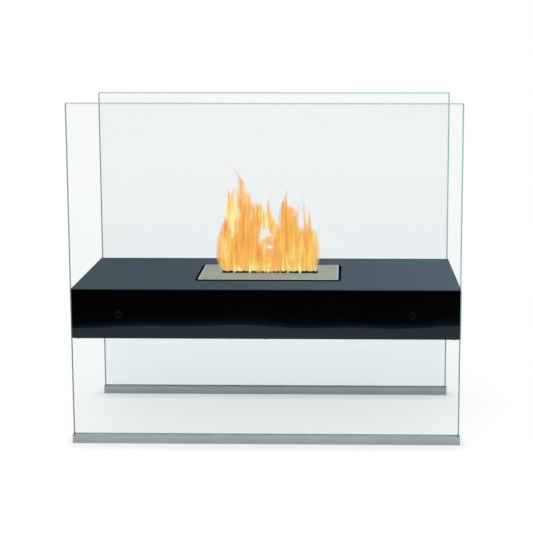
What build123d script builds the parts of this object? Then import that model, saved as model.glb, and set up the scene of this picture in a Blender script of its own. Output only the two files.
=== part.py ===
from build123d import *
import os

# A free-standing bioethanol fireplace: two clear glass panels stand in foot rails and carry a black
# steel casing between them. A stainless burner lifts out of the casing, and a shutter closes its slot.
# Millimetres. X is the width, +Y the rear, +Z up, and the origin is on the floor under the middle.

# Glass panels
glass_width = 710.0
glass_height = 624.0
glass_thick = 8.0
glass_arris = 0.8            # polished chamfer along every edge
panel_gap = 317.0            # between the inner faces of the two panels

# Foot rails: aluminium channels with a rubber liner that grips the glass, and a cap at each end
rail_height = 16.0
rail_wall = 1.5
rail_rounding = 0.4
liner_thick = 1.5
liner_setback = 0.8          # the liner ends this far below the rail's top
cap_thick = 1.5

# Casing: a folded steel shell, closed below by a screwed cover
casing_overhang = 1.5        # past each end of the glass
casing_top = 288.0
casing_height = 92.0
casing_sheet = 2.0
casing_bend = 2.6            # outer radius of the folds along the top
flange_width = 18.0
cover_sheet = 1.5
cover_setback = 4.0
cover_screw_diameter = 4.0
cover_screw_length = 9.0
cover_head_diameter = 8.0
cover_head_height = 2.4
cover_socket = 2.5
cover_socket_depth = 1.3
cover_nut_width = 7.0
cover_nut_height = 3.2
cover_screw_columns = 3      # screws along the front flange, and as many along the rear one

# Glass fixings: a domed bolt through each hole, with a washer outside and a bush in the glass
bolt_inset = 88.0            # from the end of the glass to the bolt's axis
bolt_diameter = 8.0
bolt_head_diameter = 14.0
bolt_head_height = 4.4
bolt_socket = 5.0
bolt_socket_depth = 2.4
bolt_tail = 3.0              # thread that shows past the nut
washer_diameter = 16.0
washer_thick = 1.0
bush_wall = 1.8
bush_flange_diameter = 20.0
bush_flange_thick = 1.5      # keeps the casing off the glass
bolt_nut_width = 13.0
bolt_nut_height = 6.5
hole_play = 0.2              # radial clearance of a screw, bolt or bush in its hole

# Stiffeners: folded brackets from the front wall to the rear wall, behind the bolts
stiffener_sheet = 2.5
stiffener_reach = 18.0       # below the axis of the bolts
stiffener_width = 28.0

# Burner: a folded plate with the flame slot, welded to the fuel tank under it
plate_length = 266.0
plate_depth = 150.0
plate_sheet = 2.0
plate_proud = 1.8            # the plate stands this far above the casing
plate_corner = 4.0
plate_rounding = 1.6
slot_end = 40.5              # from each end of the plate to the slot
slot_width = 24.0
slot_corner = 3.0
tank_setback = 13.0          # from each edge of the plate to the tank
tank_height = 67.0
tank_headspace = 18.8        # from the top of the mesh to the plate
tank_sheet = 1.2
tank_corner = 8.0
wool_play = 0.3
mesh_thick = 1.0
mesh_strand = 2.6
mesh_pitch_x = 14.0
mesh_pitch_y = 9.0

# Burner well: a black pan welded under the casing's opening, with a ledge that the burner stands on
burner_gap = 5.0             # round the plate, to the edge of the opening
recess_depth = 10.0
gasket_thick = 1.0
gasket_width = 9.0
gasket_margin = 1.2
tank_gap = 5.0               # round the tank, to the wall of the pan
tank_floor_gap = 4.0
well_sheet = 1.2
well_flange = 12.0

# Shutter: a plate that slides under the slot, moved by a wire pull that stands up through the slot
shutter_sheet = 1.5
shutter_overlap = 6.0        # past each end of the slot
shutter_lap = 1.0            # past the slot's rear edge when it is closed
shutter_front_lap = 5.0      # past the slot's front edge when it is closed
shutter_play = 0.3
guide_wall = 3.0
guide_lip = 6.0
guide_lip_thick = 1.2
guide_stop = 2.0
pull_wire = 3.0
pull_width = 40.0            # between the axes of its two legs
pull_height = 23.0           # above the burner plate
pull_bend = 6.0
pull_clearance = 0.6         # from the legs to either edge of the slot, at the ends of the travel

# Places that follow from the sizes
glass_floor = rail_wall + liner_thick
panel_y = panel_gap / 2 + glass_thick / 2
outer_glass_y = panel_gap / 2 + glass_thick
rail_width = glass_thick + 2 * (liner_thick + rail_wall)
casing_width = glass_width + 2 * casing_overhang
casing_depth = panel_gap - 2 * bush_flange_thick
casing_floor = casing_top - casing_height
casing_inner_width = casing_width - 2 * casing_sheet
casing_inner_depth = casing_depth - 2 * casing_sheet
casing_roof = casing_top - casing_sheet
bolt_x = glass_width / 2 - bolt_inset
bolt_z = casing_floor + casing_height / 2
bolt_grip = glass_thick + bush_flange_thick + casing_sheet + stiffener_sheet
cover_screw_x = casing_inner_width / 2 - flange_width / 2
cover_screw_y = casing_inner_depth / 2 - flange_width / 2
opening_length = plate_length + 2 * burner_gap
opening_depth = plate_depth + 2 * burner_gap
opening_corner = plate_corner + burner_gap
ledge_z = casing_top - recess_depth
plate_top = casing_top + plate_proud
plate_under = plate_top - plate_sheet
rim_floor = ledge_z + gasket_thick
slot_length = plate_length - 2 * slot_end
tank_length = plate_length - 2 * tank_setback
tank_depth = plate_depth - 2 * tank_setback
tank_floor = plate_under - tank_height
pan_length = tank_length + 2 * tank_gap
pan_depth = tank_depth + 2 * tank_gap
pan_corner = tank_corner + tank_gap
pan_floor = tank_floor - tank_floor_gap
wool_top = plate_under - tank_headspace - mesh_thick
pull_y = -slot_width / 2 + pull_clearance + pull_wire / 2
shutter_travel = slot_width - pull_wire - 2 * pull_clearance
shutter_length = slot_length + 2 * shutter_overlap
shutter_rear = slot_width / 2 + shutter_lap - shutter_travel
shutter_front = -slot_width / 2 - shutter_front_lap - shutter_travel
shutter_top = plate_under - shutter_play
shutter_under = shutter_top - shutter_sheet


def block(x_low, x_high, y_low, y_high, z_low, z_high):
    # A box between two corners.
    box = Box(x_high - x_low, y_high - y_low, z_high - z_low, align=Align.MIN)
    return Pos(x_low, y_low, z_low) * box


def slab(length, depth, low, high, corner=0.0):
    # An upright block round the Z axis, with its vertical corners rounded.
    if corner > 0:
        outline = RectangleRounded(length, depth, corner)
    else:
        outline = Rectangle(length, depth)
    return Pos(0, 0, low) * extrude(outline, high - low)


def frame(length, depth, width, low, high, corner=0.0):
    # A flat ring of the given outer size and width.
    inner = slab(length - 2 * width, depth - 2 * width, low, high, max(corner - width, 0.0))
    return slab(length, depth, low, high, corner) - inner


def rod(radius, low, high):
    # A cylinder on the Z axis.
    return Pos(0, 0, (low + high) / 2) * Cylinder(radius, high - low)


def hexagon(width, low, high):
    # A hexagonal prism on the Z axis, by its width across flats.
    return Pos(0, 0, low) * extrude(RegularPolygon(width / 2, 6, major_radius=False), high - low)


def outward(side, x):
    # The place of a glass fixing: its local Z points out through the panel, from the glass's outer face.
    return Pos(x, side * outer_glass_y, bolt_z) * Rot(-side * 90, 0, 0)


def fixings(side, piece):
    # One copy of a fixing's piece at each of a panel's two bolts.
    return Compound([outward(side, x) * piece for x in (-bolt_x, bolt_x)])


def cover_points():
    # The places of the cover's screws: along the front and rear flanges, and one in each end flange.
    step = 2 * cover_screw_x / (cover_screw_columns - 1)
    along = [-cover_screw_x + step * i for i in range(cover_screw_columns)]
    rows = [(x, side * cover_screw_y) for side in (-1, 1) for x in along]
    return rows + [(-cover_screw_x, 0.0), (cover_screw_x, 0.0)]


def domed_screw(diameter, length, head_diameter, head_height, socket, socket_depth):
    # A screw on the Z axis with its head above Z = 0 and its shank below.
    dome_radius = (head_diameter ** 2 / 4 + head_height ** 2) / (2 * head_height)
    dome = Pos(0, 0, head_height - dome_radius) * Sphere(dome_radius)
    head = dome & rod(head_diameter / 2, 0, head_height)
    head -= hexagon(socket, head_height - socket_depth, head_height)
    return head + rod(diameter / 2, -length, 0)


def hex_nut(width, height, bore):
    # A nut on the Z axis that hangs below Z = 0.
    return hexagon(width, -height, 0) - rod(bore / 2, -height, 0)


def glass_panel(side):
    glass = slab(glass_width, glass_thick, glass_floor, glass_floor + glass_height)
    glass = chamfer(glass.edges(), glass_arris)
    glass = Pos(0, side * panel_y, 0) * glass
    hole = rod(bolt_diameter / 2 + bush_wall + 2 * hole_play, -glass_thick, 0)
    return glass - fixings(side, hole)


def foot_rail(side):
    rail = slab(glass_width, rail_width, 0, rail_height)
    rail = fillet(rail.edges().filter_by(Axis.X), rail_rounding)
    rail -= slab(glass_width, rail_width - 2 * rail_wall, rail_wall, rail_height)
    return Pos(0, side * panel_y, 0) * rail


def rail_liner(side):
    liner = slab(glass_width, rail_width - 2 * rail_wall, rail_wall, rail_height - liner_setback)
    glass = slab(glass_width, glass_thick, glass_floor, glass_floor + glass_height)
    glass = chamfer(glass.edges(), glass_arris)
    trough = slab(glass_width, glass_thick, glass_floor + glass_arris, rail_height)
    return Pos(0, side * panel_y, 0) * (liner - glass - trough)


def rail_caps():
    cap = Box(cap_thick, rail_width, rail_height, align=(Align.MIN, Align.CENTER, Align.MIN))
    cap = fillet(cap.edges().group_by(Axis.X)[-1], rail_rounding)
    cap = Pos(glass_width / 2, 0, 0) * cap
    ends = [cap, mirror(cap, Plane.YZ)]
    return Compound([Pos(0, side * panel_y, 0) * end for side in (-1, 1) for end in ends])


def casing_shell():
    shell = slab(casing_width, casing_depth, casing_floor, casing_top)
    shell = fillet(shell.edges().group_by(Axis.Z)[-1], casing_bend)
    shell -= slab(casing_inner_width, casing_inner_depth, casing_floor, casing_roof)
    flange_top = casing_floor + casing_sheet
    shell += frame(casing_width, casing_depth, casing_sheet + flange_width, casing_floor, flange_top)
    shell -= slab(opening_length, opening_depth, casing_roof, casing_top, opening_corner)
    bolt_hole = rod(bolt_diameter / 2 + hole_play, -bolt_grip, 0)
    shell -= fixings(-1, bolt_hole) + fixings(1, bolt_hole)
    screw_hole = rod(cover_screw_diameter / 2 + hole_play, casing_floor, flange_top)
    return shell - [Pos(x, y, 0) * screw_hole for x, y in cover_points()]


def bottom_cover():
    length = casing_width - 2 * cover_setback
    cover = slab(length, casing_depth - 2 * cover_setback, casing_floor - cover_sheet, casing_floor)
    screw_hole = rod(cover_screw_diameter / 2 + hole_play, casing_floor - cover_sheet, casing_floor)
    return cover - [Pos(x, y, 0) * screw_hole for x, y in cover_points()]


def cover_screws():
    screw = Rot(180, 0, 0) * domed_screw(
        cover_screw_diameter,
        cover_screw_length,
        cover_head_diameter,
        cover_head_height,
        cover_socket,
        cover_socket_depth,
    )
    return Compound([Pos(x, y, casing_floor - cover_sheet) * screw for x, y in cover_points()])


def cover_nuts():
    nut = hex_nut(cover_nut_width, cover_nut_height, cover_screw_diameter)
    top = casing_floor + casing_sheet + cover_nut_height
    return Compound([Pos(x, y, top) * nut for x, y in cover_points()])


def stiffener(side):
    # A folded bracket, open towards the middle and below, with a tab behind the bolt at each end.
    inner, outer = bolt_x - stiffener_width / 2, bolt_x + stiffener_width / 2
    low, y = bolt_z - stiffener_reach, casing_inner_depth / 2
    sheet = stiffener_sheet
    bracket = block(inner, outer, -y, y, low, casing_roof)
    bracket -= block(inner, outer - sheet, sheet - y, y - sheet, low, casing_roof - sheet)
    bracket = bracket if side > 0 else mirror(bracket, Plane.YZ)
    bolt_hole = rod(bolt_diameter / 2 + hole_play, -bolt_grip, 0)
    return bracket - fixings(-1, bolt_hole) - fixings(1, bolt_hole)


def glass_bolts(side):
    length = washer_thick + bolt_grip + bolt_nut_height + bolt_tail
    bolt = Pos(0, 0, washer_thick) * domed_screw(
        bolt_diameter, length, bolt_head_diameter, bolt_head_height, bolt_socket, bolt_socket_depth
    )
    return fixings(side, bolt)


def bolt_washers(side):
    washer = rod(washer_diameter / 2, 0, washer_thick)
    return fixings(side, washer - rod(bolt_diameter / 2 + hole_play, 0, washer_thick))


def bolt_bushes(side):
    flange_floor = -glass_thick - bush_flange_thick
    bush = rod(bolt_diameter / 2 + hole_play + bush_wall, -glass_thick, 0)
    bush += rod(bush_flange_diameter / 2, flange_floor, -glass_thick)
    return fixings(side, bush - rod(bolt_diameter / 2 + hole_play, flange_floor, 0))


def bolt_nuts(side):
    nut = hex_nut(bolt_nut_width, bolt_nut_height, bolt_diameter)
    return fixings(side, Pos(0, 0, -bolt_grip) * nut)


def burner_well():
    wall, flange = 2 * well_sheet, 2 * well_flange
    top_corner, low_corner = opening_corner + well_sheet, pan_corner + well_sheet
    well = slab(opening_length + wall, opening_depth + wall, ledge_z - well_sheet, casing_roof, top_corner)
    well += slab(pan_length + wall, pan_depth + wall, pan_floor - well_sheet, ledge_z, low_corner)
    well += slab(opening_length + flange, opening_depth + flange, casing_roof - well_sheet, casing_roof)
    well -= slab(opening_length, opening_depth, ledge_z, casing_roof, opening_corner)
    return well - slab(pan_length, pan_depth, pan_floor, ledge_z, pan_corner)


def ledge_gasket():
    length = opening_length - 2 * gasket_margin
    depth = opening_depth - 2 * gasket_margin
    return frame(length, depth, gasket_width, ledge_z, rim_floor, opening_corner - gasket_margin)


def burner_plate():
    plate = slab(plate_length, plate_depth, rim_floor, plate_top, plate_corner)
    plate = fillet(plate.edges().group_by(Axis.Z)[-1], plate_rounding)
    inner_length = plate_length - 2 * plate_sheet
    inner_depth = plate_depth - 2 * plate_sheet
    plate -= slab(inner_length, inner_depth, rim_floor, plate_under, plate_corner - plate_sheet)
    return plate - slab(slot_length, slot_width, plate_under, plate_top, slot_corner)


def tank_filling(margin, low, high):
    # A block that fills the tank's plan, less a margin all round.
    return slab(tank_length - 2 * margin, tank_depth - 2 * margin, low, high, tank_corner - margin)


def fuel_tank():
    floor = tank_floor + tank_sheet
    return tank_filling(0, tank_floor, plate_under) - tank_filling(tank_sheet, floor, plate_under)


def wool_pad():
    return tank_filling(tank_sheet + wool_play, tank_floor + tank_sheet, wool_top)


def wool_mesh():
    half_x = (mesh_pitch_x - mesh_strand) / 2
    half_y = (mesh_pitch_y - mesh_strand) / 2
    diamond = Polygon((half_x, 0), (0, half_y), (-half_x, 0), (0, -half_y), align=None)
    columns = int((tank_length - 2 * tank_corner) / mesh_pitch_x)
    rows = int((tank_depth - 2 * tank_corner) / mesh_pitch_y)
    holes = GridLocations(mesh_pitch_x, mesh_pitch_y, columns, rows) * diamond
    mesh = tank_filling(tank_sheet + wool_play, wool_top, wool_top + mesh_thick)
    return mesh - Pos(0, 0, wool_top) * extrude(Sketch() + holes, mesh_thick)


def shutter_guide(side):
    # Its wall meets the plate, its lip runs under the shutter's end, and its stops end the travel.
    wall = shutter_length / 2 + shutter_play
    inner, outer = wall - guide_lip, wall + guide_wall
    front = shutter_front - shutter_play
    rear = shutter_rear + shutter_travel + shutter_play
    lip_top = shutter_under - shutter_play
    lip_floor = lip_top - guide_lip_thick
    guide = block(inner, outer, front - guide_stop, rear + guide_stop, lip_floor, plate_under)
    guide -= block(inner, wall, front, rear, lip_top, plate_under)
    return guide if side > 0 else mirror(guide, Plane.YZ)


def shutter_plate():
    half = shutter_length / 2
    return block(-half, half, shutter_front, shutter_rear, shutter_under, shutter_top)


def shutter_pull():
    half = pull_width / 2
    crown = plate_top + pull_height - pull_wire / 2
    corners = [(-half, shutter_top), (-half, crown), (half, crown), (half, shutter_top)]
    path = FilletPolyline([(x, pull_y, z) for x, z in corners], radius=pull_bend)
    section = Plane((-half, pull_y, shutter_top)) * Circle(pull_wire / 2)
    return sweep(section, path)


sides = {"front": -1, "rear": 1}
ends = {"left": -1, "right": 1}
pieces = {
    "rail_end_caps": rail_caps(),
    "casing_shell": casing_shell(),
    "bottom_cover": bottom_cover(),
    "cover_screws": cover_screws(),
    "cover_nuts": cover_nuts(),
    "burner_well": burner_well(),
    "ledge_gasket": ledge_gasket(),
    "burner_top_plate": burner_plate(),
    "fuel_tank": fuel_tank(),
    "ceramic_wool_pad": wool_pad(),
    "wool_mesh": wool_mesh(),
    "shutter_plate": shutter_plate(),
    "shutter_pull": shutter_pull(),
}
for name, side in sides.items():
    pieces[f"{name}_glass_panel"] = glass_panel(side)
    pieces[f"{name}_foot_rail"] = foot_rail(side)
    pieces[f"{name}_rail_liner"] = rail_liner(side)
    pieces[f"{name}_glass_bolts"] = glass_bolts(side)
    pieces[f"{name}_bolt_washers"] = bolt_washers(side)
    pieces[f"{name}_bolt_bushes"] = bolt_bushes(side)
    pieces[f"{name}_bolt_nuts"] = bolt_nuts(side)
for name, side in ends.items():
    pieces[f"{name}_stiffener"] = stiffener(side)
    pieces[f"{name}_shutter_guide"] = shutter_guide(side)

os.makedirs("parts", exist_ok=True)
for name, piece in pieces.items():
    export_step(piece, f"parts/{name}.step")
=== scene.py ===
import math
import bpy
import numpy as np
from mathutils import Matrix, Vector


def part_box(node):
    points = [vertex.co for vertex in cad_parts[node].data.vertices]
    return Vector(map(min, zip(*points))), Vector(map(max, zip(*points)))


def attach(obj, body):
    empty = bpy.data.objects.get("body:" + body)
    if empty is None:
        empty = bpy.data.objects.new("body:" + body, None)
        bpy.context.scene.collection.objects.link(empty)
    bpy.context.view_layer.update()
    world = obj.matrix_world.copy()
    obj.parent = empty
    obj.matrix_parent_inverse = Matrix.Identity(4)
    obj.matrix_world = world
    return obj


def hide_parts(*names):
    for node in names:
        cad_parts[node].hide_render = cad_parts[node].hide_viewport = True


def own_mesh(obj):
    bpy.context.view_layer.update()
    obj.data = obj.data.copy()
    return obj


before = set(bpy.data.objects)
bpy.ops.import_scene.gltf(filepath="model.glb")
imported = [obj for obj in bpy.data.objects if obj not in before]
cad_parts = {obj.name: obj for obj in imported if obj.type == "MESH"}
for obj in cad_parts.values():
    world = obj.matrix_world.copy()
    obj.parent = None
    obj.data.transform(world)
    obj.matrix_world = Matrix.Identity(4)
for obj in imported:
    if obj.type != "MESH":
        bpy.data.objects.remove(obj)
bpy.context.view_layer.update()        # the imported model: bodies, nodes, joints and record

mm = 0.001               # one millimetre in Blender's metres
noiseReach = (0.3, 0.7)  # nearly all values of a noise lie between these
print("frame loaded:", len(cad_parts), "nodes")


def newMaterial(name):
    material = bpy.data.materials.new(name)
    material.use_nodes = True
    material.node_tree.nodes.clear()
    return material, material.node_tree


def addNode(tree, kind, inputs=None, **settings):
    # an output given for an input is linked, anything else is set on the input, a colour as three shares
    made = tree.nodes.new("ShaderNode" + kind)
    for key, value in settings.items():
        setattr(made, key, value)
    for key, value in (inputs or {}).items():
        socket = made.inputs[key]
        if isinstance(value, bpy.types.NodeSocket):
            tree.links.new(value, socket)
        else:
            socket.default_value = (*value, 1) if socket.type == "RGBA" else value
    return made


def objectPoint(tree):
    return addNode(tree, "TexCoord").outputs["Object"]


def objectPlace(tree):
    # x, y and z of a point of the piece, metres
    return addNode(tree, "SeparateXYZ", {0: objectPoint(tree)}).outputs


def facingParts(tree):
    # x, y and z of the direction in which the surface faces
    return addNode(tree, "SeparateXYZ", {0: addNode(tree, "TexCoord").outputs["Normal"]}).outputs


def grain(tree, stretch, detail=2.0, roughness=0.5, distortion=0.0):
    # noise on object coordinates; stretch is blotches to a metre, all ways or along x, y and z
    scale = stretch if isinstance(stretch, tuple) else (stretch,) * 3
    spread = addNode(tree, "Mapping", {"Vector": objectPoint(tree), "Scale": scale})
    noise = addNode(tree, "TexNoise", {
        "Vector": spread.outputs[0], "Scale": 1.0, "Detail": detail,
        "Roughness": roughness, "Distortion": distortion})
    return noise.outputs["Fac"]


def calc(tree, operation, *values, clamp=False):
    return addNode(tree, "Math", dict(enumerate(values)), operation=operation, use_clamp=clamp).outputs[0]


def rescale(tree, value, fromLow, fromHigh, toLow, toHigh, smooth=False):
    kind = "SMOOTHSTEP" if smooth else "LINEAR"
    return addNode(tree, "MapRange", {0: value, 1: fromLow, 2: fromHigh, 3: toLow, 4: toHigh},
                   interpolation_type=kind).outputs[0]


def varied(tree, noise, toLow, toHigh):
    return rescale(tree, noise, *noiseReach, toLow, toHigh)


def scaled(tree, color, factor):
    return addNode(tree, "VectorMath", {0: color, "Scale": factor}, operation="SCALE").outputs[0]


def blendColors(tree, share, first, second, mode="MIX"):
    inputs = {0: share, 6: first, 7: second}
    return addNode(tree, "Mix", inputs, data_type="RGBA", blend_type=mode).outputs[2]


def colorRamp(tree, share, stops):
    ramp = addNode(tree, "ValToRGB", {0: share})
    elements = ramp.color_ramp.elements
    for index, (position, color) in enumerate(stops):
        element = elements[index] if index < 2 else elements.new(position)
        element.position = position
        element.color = (*color, 1)
    return ramp.outputs[0]


def bumped(tree, height, distance, strength):
    return addNode(tree, "Bump", {"Height": height, "Distance": distance, "Strength": strength}).outputs[0]


def mixShaders(tree, share, first, second):
    return addNode(tree, "MixShader", {0: share, 1: first, 2: second}).outputs[0]


def principled(tree, inputs):
    shader = addNode(tree, "BsdfPrincipled", inputs)
    addNode(tree, "OutputMaterial", {"Surface": shader.outputs[0]})


def srgb(red, green, blue):
    # display value 0..255 to linear light, by the curve of the sRGB standard
    values = [channel / 255 for channel in (red, green, blue)]
    return tuple(v / 12.92 if v <= 0.04045 else ((v + 0.055) / 1.055) ** 2.4 for v in values)


def placed(name, data):
    made = bpy.data.objects.new(name, data)
    bpy.context.scene.collection.objects.link(made)
    return made


camera = {
    "place": (0.1421, -2.5176, 0.7822),  # metres
    "pitch": 8.294,  # degrees below the horizon
    "turn": 1.045,  # degrees to the left of straight on
    "lens": 89.53,  # mm
    "sensor": 36.0,  # mm
    "shift": (-0.10, -0.11),  # shares of the sensor's width
    "clip": (0.05, 60.0),  # metres, nearest and farthest
}


def makeCamera():
    data = bpy.data.cameras.new("camera")
    data.lens = camera["lens"]
    data.sensor_width = camera["sensor"]
    data.shift_x, data.shift_y = camera["shift"]
    data.clip_start, data.clip_end = camera["clip"]
    made = placed("camera", data)
    made.location = camera["place"]
    made.rotation_euler = (math.radians(90 - camera["pitch"]), 0, math.radians(camera["turn"]))
    bpy.context.scene.camera = made


makeCamera()
print("camera placed")


studio = {
    "roomLight": 1.0,  # what camera and soft light see
    "mirrored": [  # what gloss sees, by z of the ray from -1 to 1
        (0.000, (0.004, 0.004, 0.004)),
        (0.490, (0.004, 0.004, 0.004)),
        (0.515, (0.120, 0.165, 0.200)),
        (0.600, (0.190, 0.270, 0.330)),
        (0.800, (0.420, 0.520, 0.600)),
        (1.000, (0.850, 0.900, 0.950)),
    ],
    "slope": [  # times this, by x of the ray
        (0.00, 0.80), (0.38, 0.82), (0.47, 0.92), (0.55, 1.90), (0.66, 1.70), (0.85, 1.10),
    ],
    "slopeMost": 2.0,  # a ramp ends at 1, so it holds shares of this
    "sideGlow": (0.86, 0.90, 0.92),  # what gloss sees straight out to either side
    "sideFrom": (0.955, 0.985),  # x of the ray over which that comes in
    "softbox": {"size": (1.5, 1.0), "place": (-0.35, -1.9, 1.9), "aimHeight": 0.3, "watts": 26.0},
    "floorGlow": 0.735,  # the part that shade can't darken
    "floorShade": 0.270,  # and how pale the rest is
    # painted contact shadow: the floor's glow is dimmed where little is open round it
    "contact": 0.050,  # metres round what stands there, where it is darker
    "contactShadeShare": 0.84,  # what is left of the glow there
    "contactOpen": (0.80, 0.97),  # how open it is where that is most, and none
    "contactRays": 24,
    # painted reflection: what the floor shows in gloss is set here, apart from how it is lit
    "floorMirrored": (0.29, 0.40, 0.49),  # its look in gloss before and behind the panes
    "betweenPanes": (0.74, 0.79, 0.82),  # and between them
    "panesEnd": (0.17, 0.23),  # metres, where one turns into the other
    "nearFloor": {"x": 1.30, "front": -1.09, "back": 1.09, "points": 121, "wave": 0.022,
                  "ripples": [(9.0, 0.0, 0.6), (23.0, 1.0, 0.4)]},
    "farFloor": 24.0,
}


def makeWorld():
    # even white for everything but gloss, which sees a colour by the ray's height times a share by its x
    world = bpy.data.worlds.new("studio")
    world.use_nodes = True
    tree = world.node_tree
    tree.nodes.clear()
    ray = addNode(tree, "SeparateXYZ", {0: addNode(tree, "TexCoord").outputs["Generated"]}).outputs
    mirrored = colorRamp(tree, rescale(tree, ray[2], -1, 1, 0, 1), studio["mirrored"])
    most = studio["slopeMost"]
    stops = [(place, (share / most,) * 3) for place, share in studio["slope"]]
    slope = colorRamp(tree, rescale(tree, ray[0], -1, 1, 0, 1), stops)
    mirrored = scaled(tree, blendColors(tree, 1.0, mirrored, slope, mode="MULTIPLY"), most)
    side = rescale(tree, calc(tree, "ABSOLUTE", ray[0]), *studio["sideFrom"], 0, 1, smooth=True)
    mirrored = blendColors(tree, side, mirrored, studio["sideGlow"])
    gloss = addNode(tree, "LightPath").outputs["Is Glossy Ray"]
    color = blendColors(tree, gloss, (1, 1, 1), mirrored)
    glow = addNode(tree, "Background", {"Color": color, "Strength": studio["roomLight"]})
    addNode(tree, "OutputWorld", {"Surface": glow.outputs[0]})
    bpy.context.scene.world = world


def makeSoftbox():
    # an area light in front and above, turned to a point over the middle of the floor
    box = studio["softbox"]
    data = bpy.data.lights.new("softbox", "AREA")
    data.shape = "RECTANGLE"
    data.size, data.size_y = box["size"]
    data.energy = box["watts"]
    made = placed("softbox", data)
    made.location = box["place"]
    aim = made.location.copy()
    aim.negate()
    aim.z += box["aimHeight"]
    made.rotation_euler = aim.to_track_quat("-Z", "Y").to_euler()
    made.visible_glossy = False
    made.visible_camera = False


def floorMaterial():
    # mostly even glow, dimmer close to what stands on it as a painted contact shadow, and a little open to
    # shade;
    # in gloss it shows a set, dimmer glow, a painted reflection
    material, tree = newMaterial("paleFloor")
    near = addNode(tree, "AmbientOcclusion", {"Distance": studio["contact"]}, samples=studio["contactRays"])
    bright = studio["floorGlow"]
    # painted contact shadow: the glow dims where the floor is hemmed in
    glow = rescale(tree, near.outputs["AO"], *studio["contactOpen"],
                   studio["contactShadeShare"] * bright, bright, smooth=True)
    even = addNode(tree, "Emission", {"Color": (1, 1, 1), "Strength": glow})
    shaded = addNode(tree, "BsdfDiffuse", {"Color": (studio["floorShade"],) * 3})
    seen = addNode(tree, "AddShader", {0: even.outputs[0], 1: shaded.outputs[0]})
    away = calc(tree, "ABSOLUTE", objectPlace(tree)[1])
    outside = rescale(tree, away, *studio["panesEnd"], 0, 1, smooth=True)
    # painted reflection: a set glow for gloss, paler between the panes than before and behind them
    mirrored = blendColors(tree, outside, studio["betweenPanes"], studio["floorMirrored"])
    dim = addNode(tree, "Emission", {"Color": mirrored, "Strength": 1.0})
    gloss = addNode(tree, "LightPath").outputs["Is Glossy Ray"]
    both = mixShaders(tree, gloss, seen.outputs[0], dim.outputs[0])
    addNode(tree, "OutputMaterial", {"Surface": both})
    return material


def makeFloor():
    # the near floor's front edge is y(x) = front + wave times the sum of share sin(turns x + phase); the far
    # floor is four sheets round the near one, and doesn't show in gloss
    near, reach = studio["nearFloor"], studio["farFloor"]
    x = np.linspace(-near["x"], near["x"], near["points"])
    ripple = sum(share * np.sin(turns * x + phase) for turns, phase, share in near["ripples"])
    rim = np.column_stack([x, near["front"] + near["wave"] * ripple, np.zeros_like(x)])
    back = [(near["x"], near["back"], 0), (-near["x"], near["back"], 0)]
    nearVerts = [*rim.tolist(), *back]
    nearMesh = bpy.data.meshes.new("nearFloor")
    nearMesh.from_pydata(nearVerts, [], [list(range(len(nearVerts)))])
    corners = [(-reach, -reach, 0), (reach, -reach, 0), (reach, reach, 0), (-reach, reach, 0)]
    last = len(rim) - 1
    a, b, c, d = (len(nearVerts) + k for k in range(4))
    farFaces = [
        [a, b, *range(last, -1, -1)],
        [b, c, last + 1, last],
        [c, d, last + 2, last + 1],
        [d, a, 0, last + 2],
    ]
    farMesh = bpy.data.meshes.new("farFloor")
    farMesh.from_pydata(nearVerts + corners, [], farFaces)
    material = floorMaterial()
    for mesh in (nearMesh, farMesh):
        mesh.materials.append(material)
        made = placed(mesh.name, mesh)
        made.visible_glossy = mesh is nearMesh


makeWorld()
makeSoftbox()
makeFloor()
scene = bpy.context.scene
scene.view_settings.view_transform = "Standard"
scene.cycles.transparent_max_bounces = 96    # the flame is many clear shells deep
print("studio built")


enamel = {
    "edge": (0.0005, 0.0005, 0.0006),  # gloss black of the fascia and sides
    # painted sheen: the upper face gets this paler colour than the upright faces' gloss black
    "top": (0.026, 0.040, 0.050),  # satin blue-black of the upper face
    "topFrom": (0.55, 0.95),  # how far up a face looks
    "edgeRough": 0.07,
    "topRough": 0.38,
    "cloud": 16,  # slow blotches to a metre
    "cloudLight": (0.80, 1.12),  # how they darken and lighten it
    "cloudRough": 0.012,
    "fine": 620,  # fine grains to a metre
    "fineLight": 0.16,
    "fineRough": (-0.03, 0.05),  # on the upper face only
    "dimples": 240,  # to a metre, on the upper face only
    "swells": 9,  # to a metre, on all faces
    "swellHeight": 6.0,  # beside the dimples' height
    "bump": (0.000012, 0.8),  # metres, and strength
}


def enamelMaterial(name):
    # the upper face is satin, finely grained and paler as painted sheen; the upright faces are deep gloss
    # over a slow waviness
    material, tree = newMaterial(name)
    onTop = rescale(tree, facingParts(tree)[2], *enamel["topFrom"], 0, 1, smooth=True)
    cloud = grain(tree, enamel["cloud"], 3, 0.6)
    fine = grain(tree, enamel["fine"], 2, 0.6)
    cloudLight = varied(tree, cloud, *enamel["cloudLight"])
    fineLight = varied(tree, fine, -enamel["fineLight"], enamel["fineLight"])
    # painted sheen: upward faces take the paler blue-black, upright faces the gloss black
    base = blendColors(tree, onTop, enamel["edge"], enamel["top"])
    tinted = scaled(tree, base, calc(tree, "ADD", cloudLight, fineLight))
    rough = addNode(tree, "Mix", {0: onTop, 2: enamel["edgeRough"], 3: enamel["topRough"]}).outputs[0]
    fineRough = calc(tree, "MULTIPLY", onTop, varied(tree, fine, *enamel["fineRough"]))
    cloudRough = varied(tree, cloud, -enamel["cloudRough"], enamel["cloudRough"])
    rough = calc(tree, "ADD", calc(tree, "ADD", rough, fineRough), cloudRough)
    dimples = calc(tree, "MULTIPLY", onTop, grain(tree, enamel["dimples"], 2, 0.5))
    swells = calc(tree, "MULTIPLY", grain(tree, enamel["swells"], 1, 0.4), enamel["swellHeight"])
    principled(tree, {
        "Base Color": tinted, "Roughness": rough, "IOR": 1.5,
        "Normal": bumped(tree, calc(tree, "ADD", dimples, swells), *enamel["bump"])})
    return material


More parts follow.
